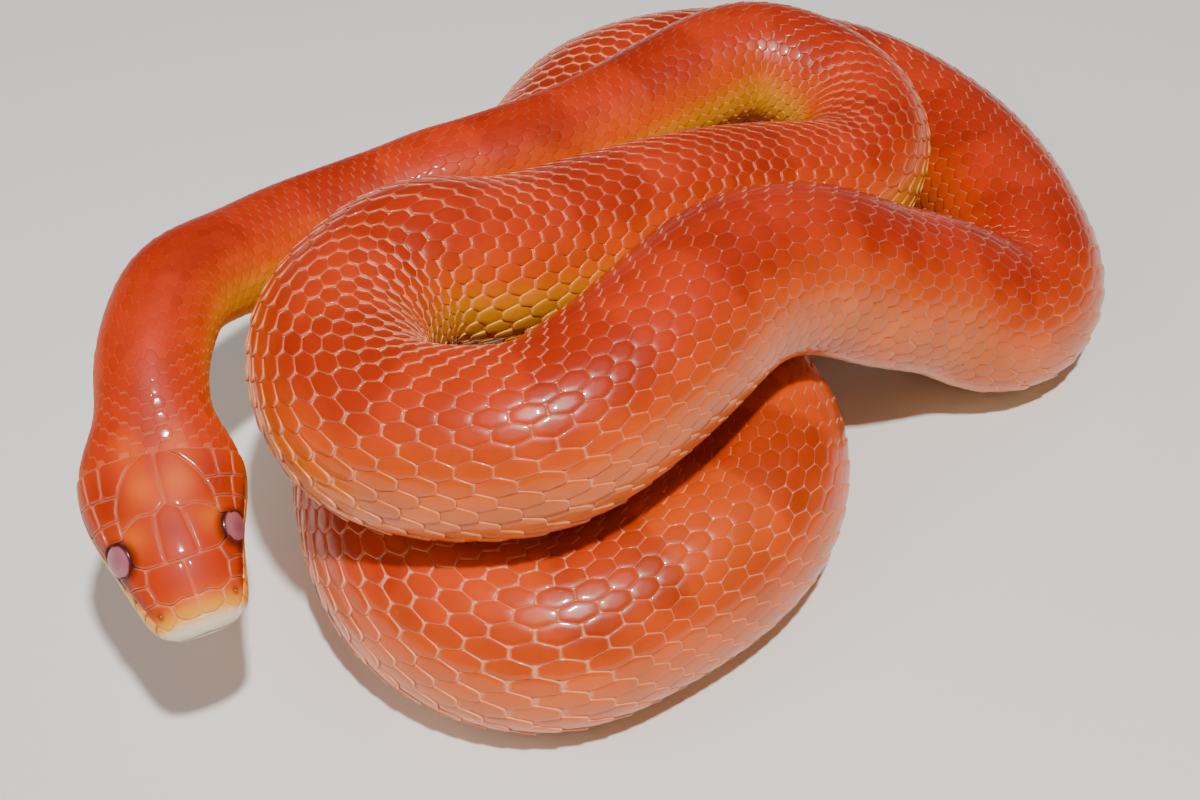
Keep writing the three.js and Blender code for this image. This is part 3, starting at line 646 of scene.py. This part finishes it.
def growScales(name, roots, turn, size, tree, given):  # one piece: a scale on each root, as a plain mesh
    cloud = bpy.data.meshes.new("scaleRoots")
    cloud.vertices.add(len(roots))
    cloud.vertices.foreach_set("co", (roots * mm).ravel())
    for label, data in (("turn", turn), ("size", size)):
        cloud.attributes.new(label, "FLOAT_VECTOR", "POINT").data.foreach_set("vector", data.ravel())
    holder = bpy.data.objects.new("scaleRoots", cloud)
    bpy.context.scene.collection.objects.link(holder)
    mod = holder.modifiers.new("rows", "NODES")
    mod.node_group = tree
    for identifier, value in given.items():
        mod[identifier] = value
    holder.update_tag()
    bpy.context.view_layer.update()
    mesh = bpy.data.meshes.new_from_object(holder.evaluated_get(bpy.context.evaluated_depsgraph_get()))
    holder.modifiers.clear()
    bpy.data.objects.remove(holder)
    mesh.name = name
    co = np.empty(len(mesh.vertices) * 3)
    mesh.vertices.foreach_get("co", co)
    co[2::3] = np.maximum(co[2::3], scales["floorGap"] * mm)  # none goes through the floor
    mesh.vertices.foreach_set("co", co)
    for label in ("turn", "size"):
        if label in mesh.attributes:
            mesh.attributes.remove(mesh.attributes[label])
    mesh.shade_smooth()
    piece = bpy.data.objects.new(name, mesh)
    bpy.context.scene.collection.objects.link(piece)
    return piece


def makeScales():
    s, phi, pitch, stepPhi = scalePoints().T
    place, turn, size = scaleFrames(s, phi, pitch, stepPhi)
    own = np.random.default_rng(scales["seed"]).normal(1.0, scales["toneSpread"], len(s))
    verts, faces, rim = scaleShape()
    shape = meshFrom("scaleShape", verts / mm, faces, scaleKeratin)
    tree, names = scaleTree(shape)
    parts = []
    for k, group in enumerate(np.array_split(np.argsort(s, kind="stable"), scales["pieces"])):
        values = (scales["rise"], scales["jitter"], scales["seed"], scaleKeratin if k else neckKeratin)
        given = dict(zip(names.values(), values))
        piece = growScales(f"scales_{k + 1}", place[group], turn[group], size[group], tree, given)
        each = np.repeat(group, len(verts))
        local = np.tile(verts, (len(group), 1))
        sAt = np.clip(s[each] + local[:, 0] * pitch[each], 0, bodyLength)
        phiAt = signed(phi[each] + local[:, 1] * stepPhi[each])
        # pale scale edges, more of them further back: partly the scales' own pale edge, partly painted
        # highlight
        pale = np.tile(rim, len(group)) * fromTable(scales["rimAlong"], s[each])
        paint(piece, own=own[each], rim=pale, gap=0.0, dark=0.0, **markAt(sAt, phiAt))
        bakeMap(piece, unwrap(s[each], phi[each]), local[:, :2])
        parts.append(piece)
        print(piece.name, len(group), "scales")
    bpy.data.objects.remove(shape)
    bpy.data.node_groups.remove(tree)
    return parts


scalePieces = makeScales()


# belly plates: one wide overlapping plate for each ring of scales
bellyPlates = dict(
    fromAngle=122, across=14, rise=0.26, overlap=1.18, bow=0.12, tuck=0.25, rim=0.3, firstAt=32.0,
    profile=[(0, -0.9, 1), (0.02, -0.15, 1), (0.12, 0.15, 0), (0.55, 0.45, 0), (0.93, 0.75, 0), (1, 0.6, 1),
             (0.985, -0.9, 1)])  # share of the length, height, rim


def makeBelly():
    b = bellyPlates
    at, pitch = np.array([r for r in rings if b["firstAt"] <= r[0] <= bodyLength - 3]).T[..., None, None]
    v, h, edge = np.array(b["profile"]).T[:, None, :, None]
    u = np.linspace(0, 1, b["across"] + 1)
    ends = np.abs(2 * u - 1)
    narrow = ends > 0.999
    s = at + pitch * (b["overlap"] * (v - 0.5) + b["bow"] * (1 - ends ** 2))
    s = np.clip(s, 0, bodyLength - 0.3)  # plates, points of the profile, points across
    spread = math.radians(180 - b["fromAngle"])
    phi = signed(np.broadcast_to(math.pi + spread * (2 * u - 1), s.shape).ravel())
    plate = b["rise"] * np.minimum(1.0, pitch / scales["fullSize"]) * h
    lift = np.where(narrow, -b["tuck"], plate) - skinShape["inset"]
    rim = np.broadcast_to(b["rim"] * np.maximum(edge, narrow), s.shape)
    local = np.broadcast_to(np.stack(np.broadcast_arrays(u - 0.5, v - 0.5), -1), (*s.shape, 2))
    roots = np.broadcast_to(unwrap(at, np.full_like(at, math.pi)), (*s.shape, 2))
    corner = np.arange(s.size).reshape(s.shape)
    after = np.roll(corner, -1, axis=1)
    quads = np.stack([corner[..., :-1], after[..., :-1], after[..., 1:], corner[..., 1:]], -1).reshape(-1, 4)
    caps = np.vstack([corner[:, ::-1, 0], corner[:, :, -1]])
    pts = surface(s.ravel(), phi, lift.ravel())[0]
    belly = meshFrom("belly_plates", pts, [quads, caps], scaleKeratin)
    paint(belly, own=1.0, rim=rim.ravel(), gap=0.0, dark=0.0, **markAt(s.ravel(), phi))
    bakeMap(belly, roots.reshape(-1, 2), local.reshape(-1, 2))
    return belly


belly = makeBelly()
print("belly plates", len(belly.data.polygons), "faces")


# head plates: corners as (distance from snout, arc from the middle of the back), in mm, on one side
topPlates = dict(
    internasal=[(1.3, 0), (3.5, 0), (3.75, 1.5), (3.4, 3.1), (1.9, 2.9), (1.2, 1.6)],
    prefrontal=[(3.5, 0), (7.9, 0), (8.1, 2.1), (8.4, 4.6), (6.6, 5.2), (4.4, 4.7), (3.4, 3.1), (3.75, 1.5)],
    supraocular=[
        (8.1, 2.1), (10.5, 2), (12.6, 1.8), (14.3, 1.5), (14.6, 3.6), (13.5, 6), (12.6, 6.1), (11, 6.2),
        (9.5, 6.1), (8.4, 4.6)],
    parietal=[
        (14.3, 1.5), (15.4, 0), (22, 0), (22.1, 1.4), (20.9, 3.2), (18.6, 4.9), (16, 5.9), (13.5, 6),
        (14.6, 3.6)],
    nasal=[(1.9, 2.9), (3.4, 3.1), (4.4, 4.7), (4.7, 7.25), (3, 6.25), (1.5, 5.3), (1.1, 4.2)],
    loreal=[(4.4, 4.7), (6.6, 5.2), (7.2, 7.1), (7.5, 8.8), (4.7, 7.25)],
    preocular=[(6.6, 5.2), (8.4, 4.6), (9.5, 6.1), (9.2, 8), (9.8, 10.1), (7.5, 8.8), (7.2, 7.1)],
    postocularHigh=[(12.6, 6.1), (15, 5.95), (15.1, 8.7), (12.9, 8.7), (12.8, 7.3)],
    postocularLow=[(12.9, 8.7), (15.1, 8.7), (15.2, 11.9), (12.1, 11), (12.6, 9.9)],
    temporalFront=[(15, 5.95), (16, 5.9), (17.6, 5.3), (18, 8.9), (15.1, 8.7)],
    temporalLow=[(15.1, 8.7), (18, 8.9), (18.3, 12.4), (15.2, 11.9)],
    temporalBack=[(17.6, 5.3), (18.6, 4.9), (20.9, 3.2), (22.1, 1.4), (22, 4.4), (21.9, 7), (17.85, 7.2)],
    templeMiddle=[(17.85, 7.2), (21.9, 7), (21.8, 9.7), (18.05, 9.4)],
    templeLow=[(18.05, 9.4), (21.8, 9.7), (21.6, 12.6), (18.3, 12.4)])
frontal = [(8, 0), (8.1, 2.1), (10.5, 2), (12.6, 1.8), (14.3, 1.5), (15.4, 0)]
rostral = [(1.3, 0), (1.2, 1.6), (1.5, 2.6), (0.75, 3.1), (0.3, 2.2), (0.22, 0)]
lips = dict(  # plate ends along each lip; the upper band starts below lipTop
    upper=[0.8, 2.5, 4.4, 6.4, 8.6, 10.9, 13.2, 15.8, 18.6, 21.4], upperBand=(None, 0.975),
    lower=[1.2, 3, 4.9, 7, 9.2, 11.6, 14.2, 17, 19.8], lowerBand=(1.03, 1.16),
    slant=0.9, gap=0.005, first=0.3)
plateShape = dict(
    step=0.35, fewest=10, seam=0.045, cut=0.12, cuts=2, rise=0.15, sink=0.18, innerRings=(0.75, 0.5, 0.25),
    deepest=0.8, first=0.05,
    levels=[(0, -0.5, 1.0), (0, 0.05, 1.0), (0.12, 0.11, 0.5), (0.3, 0.14, 0.0)],  # inset, height, rim
    # nostril: where the pit sits, its size and depth; the pit is also painted dark as shade
    nostril=(3.0, 5.0), nostrilSize=0.4, nostrilDepth=0.35, seamTone=0.28, lipSeamTone=0.55, lipSeamFrom=1.5)


def band(edges, share, slant):  # the plates of one lip
    out = []
    for a, b in zip(edges[:-1], edges[1:]):
        corners = [(a, share[0]), (b, share[0]), (b - slant, share[1]), (a - slant, share[1])]
        corners = [(max(s, lips["first"]), q) for s, q in corners]
        corners = [(s, q or float(fromTable(lipTop, s)) + lips["gap"]) for s, q in corners]
        out.append([(s, q * float(np.interp(mouthAngle(s), *arcsAt(s)))) for s, q in corners])
    return out


def plateEdge(corners):  # corners cut round, then evenly spaced points, drawn in by half a seam
    pts = np.array(corners, float)
    turn = np.sum(pts[:, 0] * np.roll(pts[:, 1], -1) - np.roll(pts[:, 0], -1) * pts[:, 1])
    pts = pts if turn > 0 else pts[::-1]
    c = plateShape["cut"]
    for _ in range(plateShape["cuts"]):
        after = np.roll(pts, -1, axis=0)
        pts = np.stack([pts * (1 - c) + after * c, pts * c + after * (1 - c)], 1).reshape(-1, 2)
    closed = np.vstack([pts, pts[:1]])
    run = runOf(closed)
    count = max(plateShape["fewest"], int(round(run[-1] / plateShape["step"])))
    t = np.linspace(0, run[-1], count, endpoint=False)
    pts = np.stack([np.interp(t, run, closed[:, k]) for k in (0, 1)], 1)
    along = unit(np.roll(pts, -1, axis=0) - np.roll(pts, 1, axis=0))
    return pts + np.stack([-along[:, 1], along[:, 0]], 1) * plateShape["seam"]


def plateRings(corners):  # (distance, arc, height, rim) of one plate's points, ring by ring, the middle last
    edge = plateEdge(corners)
    n, mid = len(edge), edge.mean(0)
    reach = np.linalg.norm(edge - mid, axis=1, keepdims=True)
    ps = plateShape
    rows = [(1 - np.minimum(inset / reach, ps["deepest"]), h, rim) for inset, h, rim in ps["levels"]]
    rows += [(rows[-1][0] * k, ps["rise"], 0.0) for k in ps["innerRings"]]
    points = [np.column_stack([mid + (edge - mid) * k, np.full(n, h), np.full(n, rim)]) for k, h, rim in rows]
    j = np.arange(n)
    tris = [fan((len(rows) - 1) * n + j, len(rows) * n), np.stack([0 * j[2:], j[2:], j[1:-1]], 1)]
    points.append([[*mid, ps["rise"], 0.0]])
    return np.vstack(points), ringQuads(n, len(rows)), np.vstack(tris)


def makeHeadPlates():
    ps = plateShape
    half = list(topPlates.values()) + band(lips["upper"], lips["upperBand"], lips["slant"])
    half += band(lips["lower"], lips["lowerBand"], -lips["slant"] / 2)
    outlines = half + [[(s, -q) for s, q in c] for c in half]
    outlines += [c + [(s, -q) for s, q in c[-2:0:-1]] for c in (frontal, rostral)]
    parts, quads, tris, base = [], [], [], 0
    for corners in outlines:
        points, fours, threes = plateRings(corners)
        parts.append(points)
        quads.append(base + fours)
        tris.append(base + threes)
        base += len(points)
    s, arc, lift, rim = np.vstack(parts).T
    s = np.maximum(s, ps["first"])
    phi = arcToAngle(s, arc)
    # the nostril: a shallow pit, with painted shade in it
    (nostrilS, nostrilArc), size = ps["nostril"], ps["nostrilSize"]
    pit = np.exp(-(((s - nostrilS) / size) ** 2 + ((np.abs(arc) - nostrilArc) / size) ** 2))
    pts = surface(s, phi, lift - ps["nostrilDepth"] * pit - ps["sink"])[0]
    plates = meshFrom("head_plates", pts, [np.vstack(quads), np.vstack(tris)], plateKeratin)
    onLip = np.abs(phi) / mouthAngle(s) > fromTable(lipTop, s) - 0.01
    lipSeam = np.where(onLip & (s > ps["lipSeamFrom"]), rim * ps["lipSeamTone"], 0)
    # dark: the dark lip seams, and painted shade round the eyes and in the nostril pit
    paint(plates, own=1.0, rim=np.where(onLip, 0.0, rim * ps["seamTone"]), gap=0.0,
          dark=np.maximum.reduce([lipSeam, eyeShade(pts), pit]), **markAt(s, phi))
    return plates


headPlates = makeHeadPlates()
print("head plates", len(headPlates.data.polygons), "faces")


# eyes: flat domes in tight rings, with painted shade on the rings and round the domes' edges
eyeLook = dict(
    # edge: painted shade where the eye meets its rim
    iris="#A8606C", pupil="#98505E", edge="#4A130E", across=2.2, dome=0.75, depth=0.4, rows=24, around=40,
    pupilEdge=(0.34, 0.44), shadeEdge=(0.98, 1.22))  # angles from the eye's axis
# the ring's tone is painted shade round the eye
eyeRing = dict(size=2.03, radius=0.15, sink=0.03, around=48, sides=8, mmPerRadian=8.0, tone=0.85)


def eyeAngle(sign):  # angle round the head at which the surface is nearest to the eye
    f = np.radians(np.arange(*eyePlace["searchAngles"])) * sign
    pts = surface(np.full(len(f), eyePlace["fromSnout"]), f)[0]
    return f[np.argmin(np.linalg.norm(pts - (eyeMiddle(sign) - home), axis=1))]


def eyeMaterial():  # wet, clear scale over a pale red eye: a sharp small highlight
    shine = {"Roughness": 0.3, "Coat Weight": 0.5, "Coat Roughness": 0.04}
    mat, tree, shader = newMaterial("eye_gloss", shine)
    tone = colour(eyeLook["iris"])
    # the edge of each eye is painted darker as shade
    for label, code in (("pupil", eyeLook["pupil"]), ("dark", eyeLook["edge"])):
        tone = blend(tree, tone, label, code)
    tree.links.new(tone, shader.inputs["Base Color"])
    return mat


eyeGloss = eyeMaterial()


def makeEye(name, sign):
    at, axis, ahead = [v[0] for v in surface(np.array([eyePlace["fromSnout"]]), np.array([eyeAngle(sign)]))]
    along = unit(ahead - axis * np.dot(ahead, axis))
    side = np.cross(axis, along)
    centre = at - axis * eyeLook["depth"]
    rows, around = eyeLook["rows"], eyeLook["around"]
    a = np.repeat(np.arange(1, rows) * math.pi / rows, around)
    t = np.tile(np.arange(around) * 2 * math.pi / around, rows - 1)
    out = (np.cos(t)[:, None] * along + np.sin(t)[:, None] * side) * (np.sin(a) * eyeLook["across"])[:, None]
    ball = centre + out + axis * (np.cos(a) * eyeLook["dome"])[:, None]
    poles = centre + axis * np.array([[eyeLook["dome"]], [-eyeLook["dome"]]])
    j, n = np.arange(around), len(ball)
    tris = [fan(j, n), fan(n - around + j, n + 1)[:, ::-1]]
    quads = ringQuads(around, rows - 1)[:, [0, 3, 2, 1]]
    eye = meshFrom(name, np.vstack([ball, poles]), [quads, np.vstack(tris)], eyeGloss)
    a = np.r_[a, 0, math.pi]
    paint(eye, dark=smooth(*eyeLook["shadeEdge"], a), pupil=1 - smooth(*eyeLook["pupilEdge"], a))
    return eye


eyeRight, eyeLeft = makeEye("eye_right_gloss", 1), makeEye("eye_left_gloss", -1)


def makeEyeRings():  # the rim round each eye, painted dark as shade
    e = eyeRing
    n, m = e["around"], e["sides"]
    t = np.arange(n) / n * 2 * math.pi
    verts, quads = [], []
    for sign in (-1, 1):
        s = eyePlace["fromSnout"] + e["size"] * np.cos(t)
        f = eyeAngle(sign) + e["size"] / e["mmPerRadian"] * np.sin(t)
        path, normal, _ = surface(s, f, -e["sink"])
        side = np.cross(normal, unit(np.roll(path, -1, 0) - np.roll(path, 1, 0)))
        quads.append(len(verts) * n + ringQuads(n, m, closed=True))
        for a in 2 * math.pi * np.arange(m) / m:
            verts.append(path + (normal * math.cos(a) + side * math.sin(a)) * e["radius"])
    ring = meshFrom("eye_rings", np.vstack(verts), [np.vstack(quads)], plateKeratin)
    paint(ring, own=1.0, rim=0.0, gap=0.0, dark=e["tone"], **dict.fromkeys(markings["order"], 0.0))
    return ring


eyeRings = makeEyeRings()
print("eyes and their rings")

# camera as in the photograph: 45 degrees down from the front
photo = dict(width=1200, focalPixels=1700, sensor=36, tilt=45, distance=250, aim=(0, 0, 11.7), nearest=10)
cam = bpy.data.cameras.new("camera")
cam.sensor_width = photo["sensor"]
cam.lens = photo["focalPixels"] / photo["width"] * cam.sensor_width
cam.clip_start = photo["nearest"] * mm
camera = bpy.data.objects.new("camera", cam)
away = np.array([0, -math.cos(math.radians(photo["tilt"])), math.sin(math.radians(photo["tilt"]))])
camera.location = Vector((np.array(photo["aim"]) + away * photo["distance"] - home) * mm)
camera.rotation_euler = (math.radians(90 - photo["tilt"]), 0, 0)
bpy.context.scene.collection.objects.link(camera)
bpy.context.scene.camera = camera

# floor and light
studio = dict(floor="#ECE9E2", floorReach=1600, world="#E8ECF0", worldStrength=0.1)  # reach in mm
paper = newMaterial("studio_paper", {"Base Color": colour(studio["floor"]), "Roughness": 0.9})[0]
floorCorners = np.array([(-1, -1, 0), (1, -1, 0), (1, 1, 0), (-1, 1, 0)]) * studio["floorReach"]
stageFloor = meshFrom("floor", floorCorners, [np.array([[0, 1, 2, 3]])], paper)


# places and sizes in metres, power in watts; a lamp that isn't mirrored gives no highlights
def lamp(name, place, power, size, mirrored=True, aim=(0, 0, 0.02)):
    data = bpy.data.lights.new(name, "AREA")
    data.energy = power
    data.size = size
    obj = bpy.data.objects.new(name, data)
    obj.location = place
    obj.rotation_euler = (Vector(aim) - Vector(place)).to_track_quat("-Z", "Y").to_euler()
    obj.visible_glossy = mirrored
    bpy.context.scene.collection.objects.link(obj)


lamp("key", (0.04, -0.21, 0.50), 3.4, 0.024)
lamp("side", (-0.50, -0.20, 0.50), 1.9, 0.6, mirrored=False)
lamp("back", (0.30, 0.50, 0.50), 0.7, 0.5, mirrored=False)
world = bpy.data.worlds.new("studio")
world.use_nodes = True
world.node_tree.nodes["Background"].inputs[0].default_value = colour(studio["world"])
world.node_tree.nodes["Background"].inputs[1].default_value = studio["worldStrength"]
bpy.context.scene.world = world
print("camera, floor and light")

# what each piece rides on and stands for
bodyNodes = ["head", "neck"] + [f"torso_{i}" for i in range(1, 14)] + ["tail_1", "tail_2"]
for piece in [skin, belly, headPlates, eyeRings, eyeLeft, eyeRight] + scalePieces:
    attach(piece, "root")
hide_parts(*bodyNodes)
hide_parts("eye_left")
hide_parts("eye_right")
